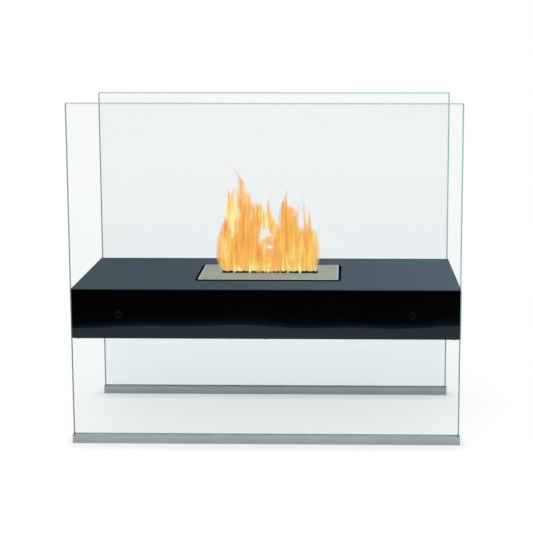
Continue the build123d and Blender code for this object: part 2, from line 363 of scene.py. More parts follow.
glass = {
    "ior": 1.52,
    "tintTop": (0.962, 0.980, 0.985),  # let through high up
    # painted shade: the pane lets less through near its foot
    "tintShadedFoot": (0.900, 0.932, 0.937),  # and near its foot
    "tintFrom": (0.14, 0.50),  # metres, heights where it changes
    "haze": (0.90, 0.93, 0.94),  # slow blotches, hardly seen
    "hazeGrain": 7,  # blotches to a metre
    "hazeFrom": (0.35, 0.65),
    "hazeShare": 0.012,
    "broadFrom": 0.9,  # how far a broad face looks to front or back
    # painted reflection: a darker band inside the edges stands in for the ground edge seen through the face
    "edgeBand": 3.5 * mm,  # how far in the glass looks darker
    "bandFull": 0.6,  # up to this share of it fully so
    "bandTop": 1.35,  # how many times narrower it is along the top
    # painted light: the band is greyer on the left and tealer on the right
    "bandLeft": (0.50, 0.52, 0.53),  # its colour, grey left and teal right
    "bandRight": (0.40, 0.63, 0.59),
    # painted shade: the band is darker under the casing
    "bandLow": 0.62,  # and how much darker it is under the casing
    "bandLowFrom": (0.19, 0.34),  # metres, heights where that changes
    "drift": 4,  # blotches to a metre that shift left towards right
    "driftShare": 0.2,  # by this share of the width
    # painted light: the ground edges are greyer on the left and tealer on the right
    "edgeLeft": (0.37, 0.42, 0.42),  # the ground edges, greyer left
    "edgeRight": (0.29, 0.45, 0.42),
    "edgeSpeck": (0.44, 0.58, 0.56),  # their lighter grains
    "edgeSpeckShare": 0.8,
    "edgeRough": 0.25,
    "edgeClosed": 0.85,  # how little can be seen through them
    "ground": 900,  # grains to a metre
    "groundBump": (0.00004, 0.5),  # metres, and strength
    "boreWall": (0.007, 0.008, 0.008),  # the wall of a bolt's hole, dark with its bush
    "boreLight": (0.7, 1.3),  # how its grains darken and lighten it
    "boreFrom": 30 * mm,  # the holes lie farther in
    # painted light: the grey of the liner seen through the pane, made paler against the shade in the rail's
    # slot
    "gripped": (0.80, 0.85, 0.855),  # paler grey where the liner presses on it
}


def glassMaterial(name, paneName, linerName):
    # a pane doesn't bend what is seen through it: it is clear on both faces and mirrors at the outward one,
    # and lets less through towards its foot as painted shade; a narrow band inside its edges is darker, a
    # painted reflection of the edge, greyer left and tealer right as painted light and darker under the
    # casing as painted shade; the ground edges are green and nearly closed, greyer left as painted light.
    # Below the top of its liner it is closed and grey, paler as painted light against the shade there, and
    # the walls of the bolts' holes are dark
    material, tree = newMaterial(name)
    low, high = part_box(paneName)
    place = objectPlace(tree)
    fromSide = calc(tree, "SUBTRACT", float(high.x), calc(tree, "ABSOLUTE", place[0]))
    fromTop = calc(tree, "SUBTRACT", float(high.z), place[2])
    fromEdge = calc(tree, "MINIMUM", fromSide, calc(tree, "MULTIPLY", fromTop, glass["bandTop"]))
    drift = varied(tree, grain(tree, glass["drift"], 1, 0.5), -glass["driftShare"], glass["driftShare"])
    toRight = rescale(tree, place[0], float(low.x), float(high.x), 0, 1)
    toRight = calc(tree, "ADD", toRight, drift, clamp=True)

    # the broad faces
    bandEnd = glass["edgeBand"]
    # painted reflection of the ground edge in a band inside it, greyer left and tealer right as painted
    # light
    nearEdge = rescale(tree, fromEdge, glass["bandFull"] * bandEnd, bandEnd, 1, 0, smooth=True)
    band = blendColors(tree, toRight, glass["bandLeft"], glass["bandRight"])
    # painted shade: the band is darker under the casing
    band = scaled(tree, band, rescale(tree, place[2], *glass["bandLowFrom"], glass["bandLow"], 1))
    # painted shade: the pane lets less through towards its foot
    upward = rescale(tree, place[2], *glass["tintFrom"], 0, 1)
    tintAndShade = blendColors(tree, upward, glass["tintShadedFoot"], glass["tintTop"])
    haze = rescale(tree, grain(tree, glass["hazeGrain"], 2, 0.5), *glass["hazeFrom"], 0, glass["hazeShare"])
    clearColor = blendColors(tree, haze, blendColors(tree, nearEdge, tintAndShade, band), glass["haze"])
    clear = addNode(tree, "BsdfTransparent", {"Color": clearColor})
    mirror = addNode(tree, "BsdfGlossy", {"Color": (1, 1, 1), "Roughness": 0.0})
    fresnel = addNode(tree, "Fresnel", {"IOR": glass["ior"]}).outputs[0]
    outer = mixShaders(tree, fresnel, clear.outputs[0], mirror.outputs[0])
    inner = addNode(tree, "BsdfTransparent", {"Color": (1, 1, 1)})
    fromInside = addNode(tree, "NewGeometry").outputs["Backfacing"]
    pane = mixShaders(tree, fromInside, outer, inner.outputs[0])
    # painted light: below the liner's top the pane shows a paler grey against the shade in the rail's slot
    gripped = calc(tree, "LESS_THAN", place[2], float(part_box(linerName)[1].z))
    grey = addNode(tree, "BsdfDiffuse", {"Color": glass["gripped"]})
    pane = mixShaders(tree, gripped, pane, grey.outputs[0])

    # the ground edges and holes
    ground = grain(tree, glass["ground"], 2, 0.6)
    # painted light: the edge colour goes from grey on the left to teal on the right
    edgeColor = blendColors(tree, toRight, glass["edgeLeft"], glass["edgeRight"])
    speck = calc(tree, "MULTIPLY", ground, glass["edgeSpeckShare"])
    edge = addNode(tree, "BsdfPrincipled", {
        "Base Color": blendColors(tree, speck, edgeColor, glass["edgeSpeck"]),
        "Roughness": glass["edgeRough"], "Alpha": glass["edgeClosed"],
        "Normal": bumped(tree, ground, *glass["groundBump"])})
    boreColor = scaled(tree, glass["boreWall"], varied(tree, ground, *glass["boreLight"]))
    bore = addNode(tree, "BsdfDiffuse", {"Color": boreColor})
    bored = calc(tree, "GREATER_THAN", fromEdge, glass["boreFrom"])
    rim = mixShaders(tree, bored, edge.outputs[0], bore.outputs[0])

    broad = calc(tree, "GREATER_THAN", calc(tree, "ABSOLUTE", facingParts(tree)[1]), glass["broadFrom"])
    addNode(tree, "OutputMaterial", {"Surface": mixShaders(tree, broad, rim, pane)})
    return material


brushed = {
    "color": (0.60, 0.56, 0.43), "metal": 0.55, "rough": 0.34, "streaks": (6, 700, 700), "depth": 0.10}

metals = {
    # streaks to a metre along x, y and z; depth is how far they darken and lighten; the edge colour is
    # painted shade on upright faces; rim is a painted highlight on a plate's outline: node, width, times;
    # the foot entry is painted shade at a rail's foot: height of the foot, light left
    "brushedSteel": brushed,
    # painted shade on the plate's upright faces, and a painted highlight along its outline
    "plateSteel": {
        **brushed, "paintedShadeEdge": (0.010, 0.010, 0.010), "rim": ("burner_top_plate", 3.2 * mm, 1.38)},
    "satinAluminium": {
        "color": (0.405, 0.446, 0.453), "metal": 0.5, "rough": 0.36, "streaks": (5, 900, 900), "depth": 0.06,
        # painted shade: the rail is darker towards its foot
        "paintedFootShade": (0.016, 0.80)},
    "zincSteel": {
        "color": (0.46, 0.47, 0.48), "metal": 0.8, "rough": 0.42, "streaks": (160, 160, 160), "depth": 0.14},
    "meshWire": {
        "color": (0.36, 0.35, 0.33), "metal": 0.9, "rough": 0.38, "streaks": (500, 500, 500), "depth": 0.20},
    "blackFastener": {
        "color": (0.0012, 0.0012, 0.0013), "metal": 0.0, "rough": 0.24, "streaks": (700, 700, 700),
        "depth": 0.15, "specular": 0.06},
}

metalGrain = {  # the same for all metals
    "cloud": 14,  # slow blotches to a metre
    "cloudLight": 0.04,  # how much they darken and lighten
    "rough": (-0.06, 0.08),  # how the streaks change the roughness
    "bump": (0.00002, 0.6),  # metres, and strength
    "specular": 0.5,  # where a finish names none
    # for the painted shade on upright faces: their gloss, and where they begin
    "cutSpecular": 0.05,
    "cutFrom": (0.74, 0.95),  # how far up or down an edge looks, and a flat face
    # painted shade at a rail's foot
    "footFrom": (0.1, 0.9),  # shares of the foot's height where it gets lighter
    # painted highlight on a plate's rim
    "rimEnd": 1.25,  # the rim fades out at this many times its width
}


def metalMaterial(name):
    # streaks lighten and darken the metal along one direction and roughen it a little; where a finish says
    # so, upright faces and a rail's foot are darker as painted shade, and a plate's rim is brighter as a
    # painted highlight
    spec = metals[name]
    material, tree = newMaterial(name)
    streaks = grain(tree, spec["streaks"], 3, 0.65)
    cloud = grain(tree, metalGrain["cloud"], 2, 0.5)
    light = calc(tree, "ADD",
                 varied(tree, streaks, 1 - spec["depth"], 1 + spec["depth"]),
                 varied(tree, cloud, -metalGrain["cloudLight"], metalGrain["cloudLight"]))
    # painted shade: darker towards the rail's foot
    if "paintedFootShade" in spec:
        tall, share = spec["paintedFootShade"]
        dark, full = (part * tall for part in metalGrain["footFrom"])
        light = calc(tree, "MULTIPLY", light,
                     rescale(tree, objectPlace(tree)[2], dark, full, share, 1, smooth=True))
    # painted highlight: lighter along the plate's outline
    if "rim" in spec:
        node, width, share = spec["rim"]
        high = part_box(node)[1]
        place = objectPlace(tree)
        inward = calc(tree, "MINIMUM",
                      calc(tree, "SUBTRACT", float(high.x), calc(tree, "ABSOLUTE", place[0])),
                      calc(tree, "SUBTRACT", float(high.y), calc(tree, "ABSOLUTE", place[1])))
        light = calc(tree, "MULTIPLY", light,
                     rescale(tree, inward, width, metalGrain["rimEnd"] * width, share, 1, smooth=True))
    color = scaled(tree, spec["color"], light)
    specular = spec.get("specular", metalGrain["specular"])
    # painted shade: upright faces turn near black and lose most of their gloss
    if "paintedShadeEdge" in spec:
        facing = calc(tree, "ABSOLUTE", facingParts(tree)[2])
        upright = rescale(tree, facing, *metalGrain["cutFrom"], 1, 0, smooth=True)
        color = blendColors(tree, upright, color, spec["paintedShadeEdge"])
        specular = rescale(tree, upright, 0, 1, metalGrain["specular"], metalGrain["cutSpecular"])
    less, more = metalGrain["rough"]
    principled(tree, {
        "Base Color": color, "Metallic": spec["metal"], "Specular IOR Level": specular,
        "Roughness": varied(tree, streaks, spec["rough"] + less, spec["rough"] + more),
        "Normal": bumped(tree, streaks, *metalGrain["bump"])})
    return material


softs = {
    # dark and light of the grain, size in grains to a metre, bump in metres; pressedOn is a pane that it
    # touches: it is clear there, as two faces in one place render black, and the pane shows its grey
    "railRubber": {
        "dark": (0.39, 0.43, 0.435), "light": (0.50, 0.545, 0.55), "rough": 0.60, "size": 900,
        "bump": 0.00005, "pressedOn": "rear_glass_panel"},
    "blackNylon": {
        "dark": (0.0008, 0.0008, 0.0009), "light": (0.002, 0.002, 0.0022), "rough": 0.20, "size": 1400,
        "bump": 0.00003, "specular": 0.06},
    "ceramicWool": {
        "dark": (0.42, 0.41, 0.38), "light": (0.78, 0.77, 0.73), "rough": 0.95, "size": 420, "bump": 0.0008},
    # near-black fibre that also stands in as painted shade in the gap round the burner plate
    "gasketFibre": {
        "dark": (0.008, 0.008, 0.008), "light": (0.028, 0.028, 0.027), "rough": 0.9, "size": 700,
        "bump": 0.00025, "specular": 0.08},
}

softGrain = {  # the same for all soft finishes
    "coarser": 9,  # how many times larger the coarse grains are
    "fineShare": 0.65,
    "coarseShare": 0.35,
    "colorFrom": (0.32, 0.68),  # grain where dark turns into light
    "rough": (-0.08, 0.05),  # how the fine grain changes the roughness
    "bumpStrength": 0.7,
    "specular": 0.5,  # where a finish names none
    "touch": 0.1 * mm,  # a face this close to the pane presses on it
}


def softMaterial(name):
    # two grains, a coarse and a fine one, lighten the surface and raise it
    spec = softs[name]
    material, tree = newMaterial(name)
    fine = grain(tree, spec["size"], 4, 0.65, 0.4)
    coarse = grain(tree, spec["size"] / softGrain["coarser"], 2, 0.5)
    both = calc(tree, "ADD",
                calc(tree, "MULTIPLY", fine, softGrain["fineShare"]),
                calc(tree, "MULTIPLY", coarse, softGrain["coarseShare"]))
    lightness = rescale(tree, both, *softGrain["colorFrom"], 0, 1)
    color = blendColors(tree, lightness, spec["dark"], spec["light"])
    less, more = softGrain["rough"]
    surface = addNode(tree, "BsdfPrincipled", {
        "Base Color": color, "Specular IOR Level": spec.get("specular", softGrain["specular"]),
        "Roughness": varied(tree, fine, spec["rough"] + less, min(1.0, spec["rough"] + more)),
        "Normal": bumped(tree, both, spec["bump"], softGrain["bumpStrength"])}).outputs[0]
    if "pressedOn" in spec:
        # the panes stand alike before and behind the middle, so one box serves for both
        low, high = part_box(spec["pressedOn"])
        fromMiddle = calc(tree, "ABSOLUTE", objectPlace(tree)[1])
        off = calc(tree, "ABSOLUTE", calc(tree, "SUBTRACT", fromMiddle, float(low.y + high.y) / 2))
        touching = calc(tree, "LESS_THAN", off, float(high.y - low.y) / 2 + softGrain["touch"])
        surface = mixShaders(tree, touching, surface, addNode(tree, "BsdfTransparent").outputs[0])
    addNode(tree, "OutputMaterial", {"Surface": surface})
    return material


finishes = {
    "enamel": (enamelMaterial("blackEnamel"), ["casing_shell", "bottom_cover", "burner_well"]),
    "frontGlass": (
        glassMaterial("frontGlass", "front_glass_panel", "front_rail_liner"), ["front_glass_panel"]),
    "rearGlass": (
        glassMaterial("rearGlass", "rear_glass_panel", "rear_rail_liner"), ["rear_glass_panel"]),
    "rails": (metalMaterial("satinAluminium"), ["front_foot_rail", "rear_foot_rail", "rail_end_caps"]),
    "liners": (softMaterial("railRubber"), ["front_rail_liner", "rear_rail_liner"]),
    "plate": (metalMaterial("plateSteel"), ["burner_top_plate"]),
    "steel": (metalMaterial("brushedSteel"), [
        "fuel_tank", "shutter_plate", "shutter_pull", "left_shutter_guide", "right_shutter_guide"]),
    "zinc": (metalMaterial("zincSteel"), [
        "cover_nuts", "front_bolt_nuts", "rear_bolt_nuts", "left_stiffener", "right_stiffener"]),
    "fasteners": (metalMaterial("blackFastener"), [
        "cover_screws", "front_glass_bolts", "rear_glass_bolts"]),
    "nylon": (softMaterial("blackNylon"), [
        "front_bolt_washers", "rear_bolt_washers", "front_bolt_bushes", "rear_bolt_bushes"]),
    "gasket": (softMaterial("gasketFibre"), ["ledge_gasket"]),
    "wool": (softMaterial("ceramicWool"), ["ceramic_wool_pad"]),
    "wire": (metalMaterial("meshWire"), ["wool_mesh"]),
}

for material, nodeNames in finishes.values():
    for nodeName in nodeNames:
        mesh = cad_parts[nodeName].data
        mesh.materials.clear()
        mesh.materials.append(material)
print("finishes on:", sum(len(names) for _, names in finishes.values()), "nodes")


def closedTubes(rings, starts, ends, floats, name):
    # rings is (tubes, along, around, 3), and a pole closes each tube at its start and end; face (i, j) joins
    # rings i and i + 1 between spokes j and j + 1, the last spoke running back to the first
    tubes, along, around = rings.shape[:3]
    points = np.concatenate([rings.reshape(tubes, -1, 3), starts[:, None], ends[:, None]], axis=1)
    startPole, endPole = along * around, along * around + 1
    i, j = np.meshgrid(np.arange(along - 1), np.arange(around), indexing="ij")
    k = (j + 1) % around
    here, above = i * around, (i + 1) * around
    quads = np.stack([here + j, here + k, above + k, above + j], -1).reshape(-1, 4)
    spoke = np.arange(around)
    after = (spoke + 1) % around
    lastRing = (along - 1) * around
    startTris = np.stack([after, spoke, np.full(around, startPole)], -1)
    endTris = np.stack([lastRing + spoke, lastRing + after, np.full(around, endPole)], -1)
    offsets = (np.arange(tubes) * points.shape[1])[:, None, None]
    allQuads = (quads[None] + offsets).reshape(-1, 4)
    allTris = (np.concatenate([startTris, endTris])[None] + offsets).reshape(-1, 3)
    mesh = bpy.data.meshes.new(name)
    mesh.from_pydata(points.reshape(-1, 3).tolist(), [], allQuads.tolist() + allTris.tolist())
    mesh.polygons.foreach_set("use_smooth", np.ones(len(mesh.polygons), bool))
    for key, (values, startValues, endValues) in floats.items():
        layer = mesh.attributes.new(key, "FLOAT", "POINT")
        flat = np.concatenate([values.reshape(tubes, -1), startValues[:, None], endValues[:, None]], axis=1)
        layer.data.foreach_set("value", flat.astype(np.float32).ravel())
    mesh.update()
    return placed(name, mesh)


def curveThrough(points, count):
    # Catmull-Rom: c(t) = (2 p1 + (p2 - p0) t + (2 p0 - 5 p1 + 4 p2 - p3) t^2
    #                      + (3 p1 - p0 - 3 p2 + p3) t^3) / 2
    points = np.asarray(points, float)
    padded = np.vstack([2 * points[0] - points[1], points, 2 * points[-1] - points[-2]])
    u = np.linspace(0, len(points) - 1, count)
    i = np.minimum(u.astype(int), len(points) - 2)
    t = (u - i)[:, None]
    p0, p1, p2, p3 = padded[i], padded[i + 1], padded[i + 2], padded[i + 3]
    return (2 * p1 + (p2 - p0) * t + (2 * p0 - 5 * p1 + 4 * p2 - p3) * t ** 2
            + (3 * p1 - p0 - 3 * p2 + p3) * t ** 3) / 2


wool = {
    "corner": 12.0,  # mm, radius of the pad's corners in plan
    "cornerPoints": 96,  # on all four together
    "edge": 1.6,  # mm, softness of its upper and lower edge
    "edgeRings": 6,  # rings on each of these
    "underside": [0.4, 0.8],  # shares of the half width
    "top": (0.985, 0.02),  # first and last ring on the top
    "topFrom": 0.99,  # rings inside this share may be pressed in
    "tuft": 0.45,  # mm, depth of the hollows in the top
    "tuftMiddle": 0.5,  # share of that in the middle of a ripple
    "tuftSwing": 0.35,  # and how much a ripple changes it
    "waves": 26,  # ripples added up for the tufts
    "waveSpread": 0.55,  # spread of the ripples' turns, radians to a mm
    "spokes": 220, "rings": 46,
    "seed": 5,
}


def makeWoolPad():
    # p(u, v) = centre + s(u) outline(v), at height h(u): from the underside's middle out, up the wall and in
    # over the top, where a sum of ripples, each sin(k . p + phase), presses hollows into it
    low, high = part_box("ceramic_wool_pad")
    halfX, halfY = (high.x - low.x) / 2 / mm, (high.y - low.y) / 2 / mm
    bottom, top = low.z / mm, high.z / mm
    tall, r = top - bottom, wool["corner"]
    t = np.linspace(0, 2 * np.pi, wool["cornerPoints"], endpoint=False) + np.pi / wool["cornerPoints"]
    corners = np.column_stack([np.sign(np.cos(t)) * (halfX - r) + r * np.cos(t),
                               np.sign(np.sin(t)) * (halfY - r) + r * np.sin(t)])
    corners = np.vstack([corners, corners[:1]])
    run = np.concatenate([[0], np.cumsum(np.hypot(*np.diff(corners, axis=0).T))])
    at = np.linspace(0, run[-1], wool["spokes"], endpoint=False)
    outline = np.column_stack([np.interp(at, run, corners[:, 0]), np.interp(at, run, corners[:, 1])])

    q = np.linspace(0, np.pi / 2, wool["edgeRings"])
    inset = wool["edge"] / halfX
    share = np.concatenate([
        wool["underside"], 1 - inset * (1 - np.sin(q)), 1 - inset * (1 - np.cos(q)),
        np.linspace(*wool["top"], wool["rings"])])
    lift = np.concatenate([
        np.zeros(len(wool["underside"])), wool["edge"] * (1 - np.cos(q)),
        tall - wool["edge"] * (1 - np.sin(q)), np.full(wool["rings"], tall)])
    heights = np.broadcast_to(bottom + lift[:, None, None], (len(share), len(outline), 1))
    rings = np.concatenate([share[:, None, None] * outline[None], heights], axis=2)

    rng = np.random.default_rng(wool["seed"])
    waves = rng.normal(0, wool["waveSpread"], (wool["waves"], 2))
    phases = rng.uniform(0, 2 * np.pi, wool["waves"])
    ripples = np.sin(rings[..., :2] @ waves.T + phases).sum(-1) / np.sqrt(wool["waves"] / 2)
    hollows = np.clip(wool["tuftMiddle"] + wool["tuftSwing"] * ripples, 0, 1)
    onTop = (share < wool["topFrom"]) & (lift > tall / 2)
    rings[..., 2] -= onTop[:, None] * wool["tuft"] * hollows

    centre = np.array([(low.x + high.x) / 2, (low.y + high.y) / 2, 0])
    start, end = np.array([[0, 0, bottom]]), np.array([[0, 0, top - wool["tuft"] / 2]])
    piece = closedTubes(rings[None] * mm + centre, start * mm + centre, end * mm + centre, {}, "woolPad")
    piece.data.materials.append(finishes["wool"][0])
    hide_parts("ceramic_wool_pad")
    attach(piece, "burner")
    print("wool pad laid:", len(piece.data.polygons), "faces")


makeWoolPad()


flame = {
    "root": 289.0,  # mm up: in the slot, over the shutter
    "stretch": 1.03,  # times the heights over it
    "settle": 9.0,  # mm of height to lean to its place
    "depth": 0.80,  # depth beside width
    "depthMore": 0.4,  # mm, added to that
    "most": 13.0,  # the most that the depth may be, mm
    "rootDepth": 1.8,  # and in the narrow slot, mm
    "rootOpen": 0.5,  # and deeper for each mm of height
    "thinnest": 0.15,  # mm, the least half width
    "curvePoints": 200,  # on each tongue's line
    "firstShell": 0.6,  # the innermost's width, beside a step
    "shorter": 0.16,  # how much shorter the middle is
    "tipClose": 12,  # it closes over the last 1/12
    "seed": 11,
    # for each layer: how much one shell hides, shells inside one another, rings along and around a shell,
    # ripple of its outline, and how far behind the slot's middle line it leaves the burner, mm
    "body": {"veil": 0.23, "shells": 7, "along": 30, "around": 14, "ripple": 0.05, "place": 8.0},
    "roots": {"veil": 0.30, "shells": 4, "along": 16, "around": 10, "ripple": 0.06, "place": 8.0},
    "fronts": {"veil": 0.26, "shells": 4, "along": 16, "around": 10, "ripple": 0.06, "place": -5.0},
    "streaks": {"veil": 0.28, "shells": 2, "along": 18, "around": 6, "ripple": 0.0, "place": 8.0},
}

# each tongue: warmth 0 deep orange to 1 pale yellow, how far it leans back in mm once it has risen,
# how dense it is, then x, height and half width in mm, from root to tip
tongues = [
    (0.42, 3, 1.0, [(-58, 289, 16), (-58, 303, 35), (-60, 325, 41), (-60, 345, 39), (-58, 365, 30),
        (-56, 385, 20), (-55, 405, 12), (-55, 425, 4), (-55, 436, 0.3)]),
    (0.44, 4, 1.0, [(44, 289, 18), (46, 303, 37), (48, 325, 43), (46, 345, 36), (41, 362, 27),
        (38, 380, 17), (36, 398, 9), (35, 412, 0.3)]),
    (0.44, -10, 1.0, [(0, 289, 8), (0, 300, 19), (0, 313, 21), (0, 322, 16), (0.5, 329, 9), (2, 335, 4),
        (3, 340, 0.3)]),
    (0.40, 3, 0.8, [(4, 338, 2), (2, 342, 9), (-1, 346, 16), (-3, 350, 17), (-3, 354, 10), (0, 363, 0.3)]),
    (0.25, -6, 1.0, [(-20, 289, 5), (-20, 305, 7), (-20, 325, 7), (-20, 338, 6), (-20, 347, 3),
        (-20, 354, 0.3)]),
    (0.42, -1, 1.35, [(-82, 289, 5), (-86, 300, 13), (-88, 320, 16.5), (-87, 340, 16.5), (-87, 358, 13.5),
        (-86.5, 375, 8), (-85.5, 389, 3.5), (-85, 399, 0.3)]),
    (0.54, 6, 1.0, [(-66, 289, 6), (-68, 305, 12), (-72, 330, 13), (-74, 355, 10), (-76, 375, 8),
        (-76, 392, 5), (-76.5, 404, 0.3)]),
    (0.74, 4, 1.3, [(-75, 368, 3), (-76, 384, 7), (-76.5, 400, 8.5), (-78, 420, 5.8), (-79, 438, 3),
        (-79.6, 454, 0.3)]),
    (0.66, -7, 1.3, [(-76, 370, 3), (-73, 382, 9), (-70, 396, 13), (-68.5, 408, 12.5), (-67, 420, 11),
        (-66, 431, 9), (-66, 441, 6), (-65.5, 449, 3), (-65, 457, 0.3)]),
    (1.10, -9, 1.0, [(-72, 352, 1), (-71.5, 362, 3.5), (-71, 372, 4.2), (-72, 384, 6), (-69, 396, 11),
        (-67.5, 405, 11), (-67, 412, 6), (-67, 418, 0.3)]),
    (1.00, -10, 0.9, [(-58, 391, 2), (-60, 397, 7), (-61, 404, 8), (-62, 411, 5), (-62, 417, 0.3)]),
    (0.85, -8, 0.5, [(-84, 300, 2), (-85, 320, 6), (-86, 345, 6), (-84, 365, 3), (-83, 375, 0.3)]),
    (1.30, 2, 0.13, [(-90, 382, 2), (-90, 392, 7), (-89, 404, 7), (-88, 416, 4), (-87, 427, 0.3)]),
    (0.36, -4, 1.6, [(-46, 289, 8), (-47, 305, 17), (-49, 330, 21), (-50, 360, 22), (-51, 390, 19),
        (-51, 415, 14.5), (-50, 431, 11), (-51.3, 446, 8.6), (-53.6, 457, 6.4), (-56, 465, 4.2),
        (-58, 471, 2.2), (-60.5, 476, 0.8), (-63, 480, 0.2)]),
    (0.05, -4, 0.8, [(-56.5, 464, 1), (-60, 474, 1.3), (-66, 483, 1.1), (-73, 493, 1), (-80, 503, 0.8),
        (-84, 510, 0.2)]),
    (0.30, 9, 0.9, [(-36, 289, 6), (-35, 310, 12), (-35, 340, 13), (-35, 370, 12), (-36, 395, 10),
        (-38, 417, 7), (-40, 433, 3.6), (-40.5, 443, 0.3)]),
    (0.42, -6, 1.3, [(-27, 289, 5), (-27, 310, 9), (-27, 335, 9.5), (-27, 355, 9.5), (-25, 375, 11),
        (-23, 391, 10.5), (-23, 401, 7), (-23, 410, 0.3)]),
    (0.45, -3, 1.6, [(-28, 376, 3), (-27.5, 392, 8.5), (-27.2, 404, 8.5), (-27, 413, 7),
        (-26.5, 419.5, 4.5), (-26.5, 424, 0.3)]),
    (0.55, -8, 1.4, [(-19.5, 376, 3), (-18.8, 392, 7.5), (-18.2, 404, 7.5), (-17.8, 412, 6),
        (-17.5, 418, 3.6), (-17.5, 422, 0.3)]),
    (0.85, 2, 1.1, [(-13, 368, 3), (-11, 376, 8), (-10, 386, 8), (-9.5, 396, 6), (-10, 405, 3.5),
        (-10, 414, 0.3)]),
    (0.50, 1, 1.5, [(17, 336, 4), (15, 350, 8), (11, 362, 10), (6.5, 374, 11), (3, 386, 9),
        (-0.5, 398, 5.4), (-2.8, 411, 3.2), (-1.5, 424, 2.3), (1.2, 435, 1.6), (4.6, 446, 0.4)]),
    (0.42, -4, 1.6, [(24, 289, 8), (24, 305, 14), (26, 330, 16), (28, 355, 15.5), (28, 380, 13),
        (27.4, 400, 10.8), (27.2, 411, 9), (27.8, 420, 6.4), (30, 430, 3.4), (33, 440, 2),
        (35.6, 449, 1.4), (38.5, 460, 0.4)]),
    (0.34, 7, 1.0, [(44, 289, 6), (45, 310, 11), (46, 335, 12), (46, 360, 11.5), (45.5, 380, 9.5),
        (44.5, 397, 9), (43.5, 408, 6.5), (43, 419, 0.3)]),
    (0.46, 2, 1.3, [(36, 340, 4), (37, 360, 7), (37.5, 380, 7.5), (37.5, 398, 7), (37.8, 410, 5),
        (38, 418, 0.3)]),
    (0.40, 3, 0.9, [(67, 335, 3), (67.5, 355, 5), (67, 380, 4.4), (66, 399, 3), (65, 415, 2.4),
        (63.2, 431, 1.9), (62, 445, 1.4), (61.5, 457, 0.4)]),
    (0.15, 5, 0.22, [(53, 372, 2), (53.5, 384, 4), (54.5, 398, 4.5), (56, 410, 3), (57, 420, 0.3)]),
    (0.45, -5, 1.0, [(72, 296, 6), (73, 325, 12), (74, 350, 11), (75, 370, 8), (76, 388, 4.4),
        (75, 403, 2.3), (74, 415, 1), (73.6, 423, 0.2)]),
    (0.52, 2, 1.1, [(76, 289, 7), (79, 302, 13), (80.5, 320, 17), (81, 338, 15.5), (82, 354, 11),
        (83, 366, 6), (83, 377, 0.3)]),
    (0.45, -12, 0.9, [(-10, 289, 6), (-10, 305, 9), (-10, 325, 10.5), (-10, 338, 9), (-10.5, 346, 6.5),
        (-12, 354, 0.3)]),
    (0.55, 0, 0.10, [(-4, 338, 8), (-4, 350, 14), (-4, 366, 14), (-4, 378, 8), (-4, 386, 0.3)]),
    (0.45, -11, 0.9, [(11, 289, 6), (11, 305, 9), (10, 322, 7.6), (11, 340, 8), (13, 352, 6),
        (14, 362, 0.2)]),
    (0.50, -5, 0.9, [(60, 289, 7), (60, 310, 11), (61, 335, 10), (62, 355, 7), (62, 370, 3),
        (62, 378, 0.2)]),
]

fire = {
    "strength": 1.07,  # how brightly it glows
    "colors": [  # display values, 0 to 255, from deep orange to pale yellow
        (0.00, (236, 138, 68)), (0.30, (248, 168, 82)), (0.58, (252, 192, 92)),
        (0.80, (254, 220, 114)), (1.00, (255, 250, 190)),
    ],
    # grain: stretch, detail, roughness, distortion; reach: the values it mostly has; swing: change of warmth
    "streaks": {"grain": ((210, 45, 16), 3, 0.6, 0.3), "reach": (0.28, 0.72), "swing": 0.34},
    "patches": {"grain": ((60, 30, 22), 2, 0.5, 0.5), "reach": (0.25, 0.75), "swing": 0.24},
    # how much the gaps leave of the veil: the least at two heights in metres, and the most
    "gaps": {"grain": ((170, 40, 15), 3, 0.6, 0.4), "reach": (0.32, 0.68)},
    "gapHeights": (0.33, 0.44),
    "gapThinnest": (0.50, -0.25),
    "gapDensest": 1.55,
}


def flameMaterial(name):
    # warmth from the tongue plus upright streaks picks the colour; the veil, thinned by gaps, is the alpha,
    # and the gaps open wider towards the tips
    material, tree = newMaterial(name)
    warmth = addNode(tree, "Attribute", attribute_name="warmth").outputs["Fac"]
    veil = addNode(tree, "Attribute", attribute_name="veil").outputs["Fac"]
    streaks, patches = (
        rescale(tree, grain(tree, *part["grain"]), *part["reach"], -part["swing"], part["swing"])
        for part in (fire["streaks"], fire["patches"]))
    tone = calc(tree, "ADD", warmth, calc(tree, "ADD", streaks, patches), clamp=True)
    color = colorRamp(tree, tone, [(place, srgb(*shown)) for place, shown in fire["colors"]])
    thinnest = rescale(tree, objectPlace(tree)[2], *fire["gapHeights"], *fire["gapThinnest"])
    gaps = grain(tree, *fire["gaps"]["grain"])
    gaps = rescale(tree, gaps, *fire["gaps"]["reach"], thinnest, fire["gapDensest"])
    hidden = calc(tree, "MULTIPLY", veil, calc(tree, "MAXIMUM", gaps, 0.0), clamp=True)
    principled(tree, {
        "Base Color": (0, 0, 0), "Roughness": 1.0, "Specular IOR Level": 0.0,
        "Emission Color": color, "Emission Strength": fire["strength"], "Alpha": hidden})
    return material


# how a shell's outline ripples, how its veil fades, and where it glows paler
shell = {
    "ripples": [(3, 9, 1.0), (5, -14, 0.7)],  # waves round it, radians up it, share
    "tipFade": (0.14, 0.15),  # over this last share the veil fades to this
    "rootFade": (0.05, 0.5),  # and over this first share it comes from this
    "thinFade": (7, 0.02),  # mm of half width under which it fades, to this
    "outward": (1.15, 0.50),  # veil in the middle, and how much less outermost
    "rootGlow": (0.30, 16),  # paler at the root, and over how many mm
    "coreGlow": 0.10,  # paler in the middle
}


